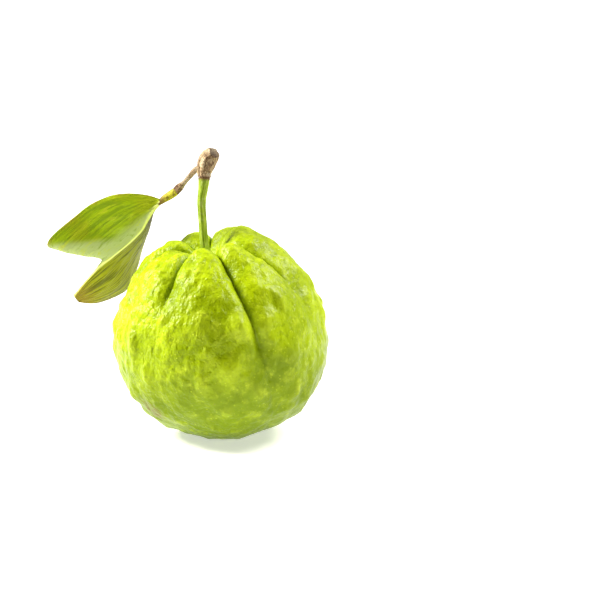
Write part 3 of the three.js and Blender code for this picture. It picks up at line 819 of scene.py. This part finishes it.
class GUAVA_OT_fruit(bpy.types.Operator):
    """Builds the fruit's skin over its solid"""
    bl_idname = "guava.fruit"
    bl_label = "Fruit"

    def execute(self, context):
        s = context.scene.guava_fruit
        points, faces, masks = fruit_mesh(s)
        away = np.linalg.norm(points - np.array(BLEMISH_PLACE), axis=1)
        masks["scar"] = np.exp(-(away / BLEMISH_SIZE) ** 4)
        put(mesh_object("fruit_skin", points, faces, masks), skin_look(s), "fruit")
        return {"FINISHED"}


class GUAVA_OT_calyx(bpy.types.Operator):
    """Builds the dry crown in the blossom-end dimple"""
    bl_idname = "guava.calyx"
    bl_label = "Dry crown"

    def execute(self, context):
        s = context.scene.guava_fruit
        points, faces, masks = calyx_mesh(s)
        place = np.array(fruit_place(s) @ Matrix.Translation((s.sway, 0, s.dimple_depth - s.bottom)))
        points = points @ place[:3, :3].T + place[:3, 3]
        put(mesh_object("dry_crown", points, faces, masks), calyx_look(s), "calyx")
        return {"FINISHED"}


class GUAVA_OT_stems(bpy.types.Operator):
    """Builds the green stalk, and the branch stub with its twig"""
    bl_idname = "guava.stems"
    bl_label = "Stalk and branch"

    def execute(self, context):
        s = context.scene.guava_stem
        points, faces, masks = tube_mesh(STALK_PATH, STALK_RADII, s.steps, s.sides, stalk_section,
                                         s.stalk_rough, 2.0)
        put(mesh_object("green_stalk", points, faces, masks), stalk_look(s), "stalk")
        stub = tube_mesh(STUB_PATH, STUB_RADII, s.steps, s.sides, stub_section, s.bark_rough, 4.0,
                         hollow=s.hollow)
        twig = tube_mesh(TWIG_PATH, TWIG_RADII, s.steps, s.sides, twig_section, s.bark_rough, 6.0)
        points, faces, masks = joined(stub, twig)
        way, part = masks["way"], masks["part"]
        collar = np.where(part > 0.5, 0.3 + smooth(0.68, 0.8, way) * 0.6, 0)
        foot = np.where(part < 0.5, 1 - smooth(0.34, 0.5, way), 0)
        masks["dark"] = np.clip(collar + foot * 0.9, 0, 1)
        # Painted shade: the hollow in the stub's broken end is darkened to the darkest bark colour.
        hollow = np.where(part < 0.5, smooth(0.99, 1.0, way) * 0.4, 0)
        hollow[len(stub[0]) - 1] = 1.0
        masks["hollow"] = hollow
        put(mesh_object("branch_bark", points, faces, masks), bark_look(s), "branch")
        return {"FINISHED"}


class GUAVA_OT_leaf(bpy.types.Operator):
    """Builds the folded leaf with its stalk"""
    bl_idname = "guava.leaf"
    bl_label = "Leaf"

    def execute(self, context):
        s = context.scene.guava_leaf
        points, faces, masks = blade_mesh(s)
        side, way = masks["side"], masks["way"]
        reach = 0.1 + 0.3 * way + 0.9 * smooth(0.5, 0.66, way)
        # Painted sheen: whitish paling of the far half beside the midrib, widening towards the tip.
        masks["pale"] = smooth(-0.14, 0.14, reach + side) * smooth(0, 0.02, -side)
        # Painted shade beside the midrib near the stalk.
        masks["shade"] = smooth(0.0, 0.04, side) * (1 - smooth(0.16, 0.46, way)) * 0.95
        blade = put(mesh_object("leaf_blade", points, faces, masks), leaf_look(s), "leaf")
        points, faces, masks = tube_mesh(LEAF_STALK_PATH, LEAF_STALK_RADII, s.shoot_steps, s.shoot_sides,
                                         None, s.shoot_rough, 9.0, start=0.12)
        shoot = mesh_object("leaf_stalk", points, faces, masks)
        shoot.data.materials.append(leaf_stalk_look(s))
        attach(shoot, "root")
        return {"FINISHED"}


class GUAVA_OT_stage(bpy.types.Operator):
    """Sets up the floor, the studio light and the camera"""
    bl_idname = "guava.stage"
    bl_label = "Stage"

    def execute(self, context):
        s = context.scene.guava_stage
        mesh = bpy.data.meshes.new("studio_floor")
        made = bmesh.new()
        bmesh.ops.create_grid(made, x_segments=1, y_segments=1, size=FLOOR_SIZE)
        made.to_mesh(mesh)
        made.free()
        floor = bpy.data.objects.new("studio_floor", mesh)
        context.collection.objects.link(floor)
        look = Look("studio_floor", Roughness=0.9, Emission_Strength=1.0)
        speckle = look.noise(look.place(), 40.0, 2.0)
        pale = look.mix(speckle, linear(s.floor_colour), linear([c * 0.985 for c in s.floor_colour]))
        behind = look.node("ShaderNodeSeparateXYZ", out="Y", Vector=look.place())
        away = look.node("ShaderNodeVectorMath", {"operation": "LENGTH"}, out="Value", Vector=look.place())
        glow = look.mix(away.ramp(0.03, 0.1), linear([s.foot_glow] * 3), linear([s.floor_glow] * 3))
        glow = look.mix(behind.ramp(-0.05, 0.7), glow, (1, 1, 1, 1))
        look.tree.links.new(glow.output, look.shader.inputs["Emission Color"])
        mesh.materials.append(look.finish(pale))

        world = bpy.data.worlds.new("studio")
        world.use_nodes = True
        nodes = world.node_tree.nodes
        way = nodes.new("ShaderNodeSeparateXYZ")
        world.node_tree.links.new(nodes.new("ShaderNodeTexCoord").outputs["Generated"], way.inputs[0])
        front = Socket(world.node_tree, way.outputs["Y"]).ramp(-0.75, 0.1)
        shine = front * (s.world_strength - s.front_strength) + s.front_strength
        world.node_tree.links.new(shine.output, nodes["Background"].inputs["Strength"])
        nodes["Background"].inputs["Color"].default_value = (1, 1, 1, 1)
        context.scene.world = world

        aim = Vector(s.aim)
        for name, (place, size), power in (
            ("key", KEY_LAMP, s.key_power), ("fill", FILL_LAMP, s.fill_power),
        ):
            lamp = bpy.data.lights.new(name, "AREA")
            lamp.size = size
            lamp.energy = power
            lamp.color = s.light_colour
            obj = bpy.data.objects.new(name, lamp)
            obj.location = place
            look_way = Vector(LAMP_AIM) - Vector(place)
            obj.rotation_euler = look_way.to_track_quat("-Z", "Y").to_euler()
            context.collection.objects.link(obj)

        pitch = math.radians(s.pitch)
        back_way = Vector((0, -math.cos(pitch), math.sin(pitch)))
        lens = bpy.data.cameras.new("camera")
        lens.lens = lens.sensor_width * s.distance / s.view_width
        camera = bpy.data.objects.new("camera", lens)
        camera.location = aim + back_way * s.distance
        camera.rotation_euler = (-back_way).to_track_quat("-Z", "Y").to_euler()
        context.collection.objects.link(camera)
        context.scene.camera = camera
        context.scene.view_settings.view_transform = "Standard"
        return {"FINISHED"}


OPERATORS = (GUAVA_OT_fruit, GUAVA_OT_calyx, GUAVA_OT_stems, GUAVA_OT_leaf, GUAVA_OT_stage)
SETTINGS = {
    "guava_fruit": FruitSettings, "guava_stem": StemSettings,
    "guava_leaf": LeafSettings, "guava_stage": StageSettings,
}


class GUAVA_PT_panel(bpy.types.Panel):
    """Lists the guava's pieces and their settings"""
    bl_idname = "GUAVA_PT_panel"
    bl_label = "Guava"
    bl_space_type = "VIEW_3D"
    bl_region_type = "UI"
    bl_category = "Guava"

    def draw(self, context):
        for operator in OPERATORS:
            self.layout.operator(operator.bl_idname)
        for key, group in SETTINGS.items():
            box = self.layout.box()
            for name in group.__annotations__:
                box.prop(getattr(context.scene, key), name)


def register():
    for cls in (*SETTINGS.values(), *OPERATORS, GUAVA_PT_panel):
        bpy.utils.register_class(cls)
    for key, group in SETTINGS.items():
        setattr(bpy.types.Scene, key, bpy.props.PointerProperty(type=group))


def unregister():
    for key in SETTINGS:
        delattr(bpy.types.Scene, key)
    for cls in (GUAVA_PT_panel, *reversed(OPERATORS), *reversed(list(SETTINGS.values()))):
        bpy.utils.unregister_class(cls)


def main():
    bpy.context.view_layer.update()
    register()
    bpy.ops.guava.fruit()
    bpy.ops.guava.calyx()
    bpy.ops.guava.stems()
    bpy.ops.guava.leaf()
    bpy.ops.guava.stage()
    bpy.context.view_layer.update()


if __name__ == "__main__":
    main()
